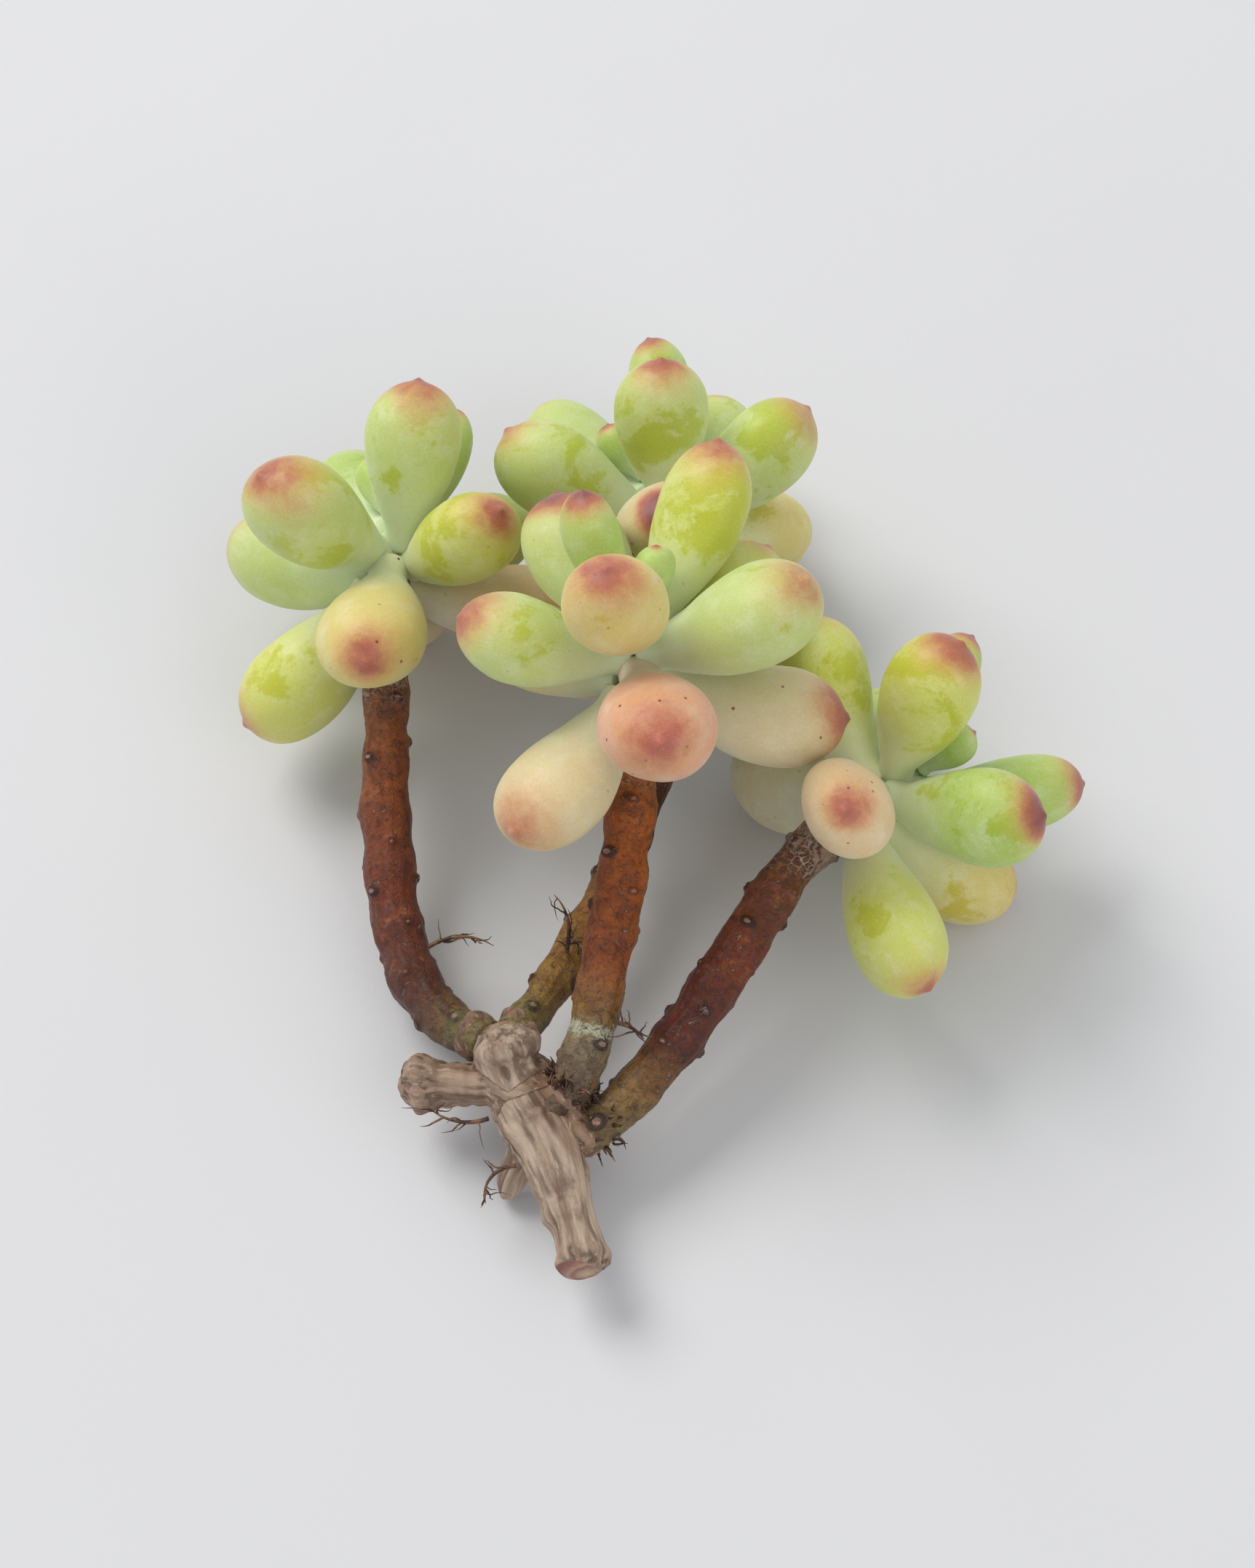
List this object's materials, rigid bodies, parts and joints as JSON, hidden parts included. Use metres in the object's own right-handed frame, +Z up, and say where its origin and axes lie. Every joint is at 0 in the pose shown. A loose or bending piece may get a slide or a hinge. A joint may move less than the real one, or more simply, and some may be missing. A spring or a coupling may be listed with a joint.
{
  "type": "sedum cutting",
  "caption": "Unpotted, branched cutting of a plump-leaved sedum lying on its side: a short woody stem that forks into bare shoots, each ending in a crown of club-shaped leaves.",
  "frame": {"origin": "middle of the footprint, on the surface that the cutting lies on", "axes": "+Z up from that surface; +Y from the cut end of the wood towards the crowns, the longest side; +X to the right when looking along +Y"},
  "size_m": [0.11, 0.1242, 0.0639],
  "materials": {
    "green_leaf": "satin waxy leaf skin, fresh green with a pale bloom and a red tip",
    "yellow_leaf": "satin waxy leaf skin, pale lime to yellow with an orange-red tip",
    "blush_leaf": "satin waxy leaf skin, cream to peach with a pink blush and fine specks",
    "brown_shoot": "semi-gloss red-brown stem skin with knobbly leaf scars and grey flakes",
    "grey_wood": "dry, wrinkled grey-brown bark with a pale cut end",
    "dry_root": "dry dark brown root"
  },
  "bodies": {
    "root": {"back_leaf_01": "green_leaf", "back_leaf_02": "green_leaf", "back_leaf_03": "green_leaf", "back_leaf_04": "green_leaf", "back_leaf_05": "green_leaf", "back_leaf_06": "yellow_leaf", "back_leaf_07": "yellow_leaf", "back_leaf_08": "yellow_leaf", "back_leaf_09": "blush_leaf", "back_leaf_10": "blush_leaf", "back_leaf_11": "blush_leaf", "back_shoot": "brown_shoot", "back_shoot_root": "dry_root", "front_leaf_01": "green_leaf", "front_leaf_02": "green_leaf", "front_leaf_03": "green_leaf", "front_leaf_04": "green_leaf", "front_leaf_05": "green_leaf", "front_leaf_06": "green_leaf", "front_leaf_07": "yellow_leaf", "front_leaf_08": "yellow_leaf", "front_leaf_09": "yellow_leaf", "front_leaf_10": "blush_leaf", "front_leaf_11": "blush_leaf", "front_leaf_12": "blush_leaf", "front_leaf_13": "blush_leaf", "front_shoot": "brown_shoot", "front_shoot_root": "dry_root", "left_leaf_01": "green_leaf", "left_leaf_02": "green_leaf", "left_leaf_03": "green_leaf", "left_leaf_04": "green_leaf", "left_leaf_05": "green_leaf", "left_leaf_06": "green_leaf", "left_leaf_07": "yellow_leaf", "left_leaf_08": "yellow_leaf", "left_leaf_09": "yellow_leaf", "left_leaf_10": "blush_leaf", "left_leaf_11": "blush_leaf", "left_leaf_13": "blush_leaf", "left_shoot": "brown_shoot", "left_shoot_root": "dry_root", "right_leaf_01": "green_leaf", "right_leaf_02": "green_leaf", "right_leaf_03": "green_leaf", "right_leaf_04": "green_leaf", "right_leaf_05": "green_leaf", "right_leaf_06": "yellow_leaf", "right_leaf_07": "yellow_leaf", "right_leaf_08": "yellow_leaf", "right_leaf_09": "blush_leaf", "right_leaf_10": "blush_leaf", "right_leaf_11": "blush_leaf", "right_shoot": "brown_shoot", "wood_lower_root": "dry_root", "wood_upper_root": "dry_root", "woody_base": "grey_wood"}
  },
  "joints": []
}
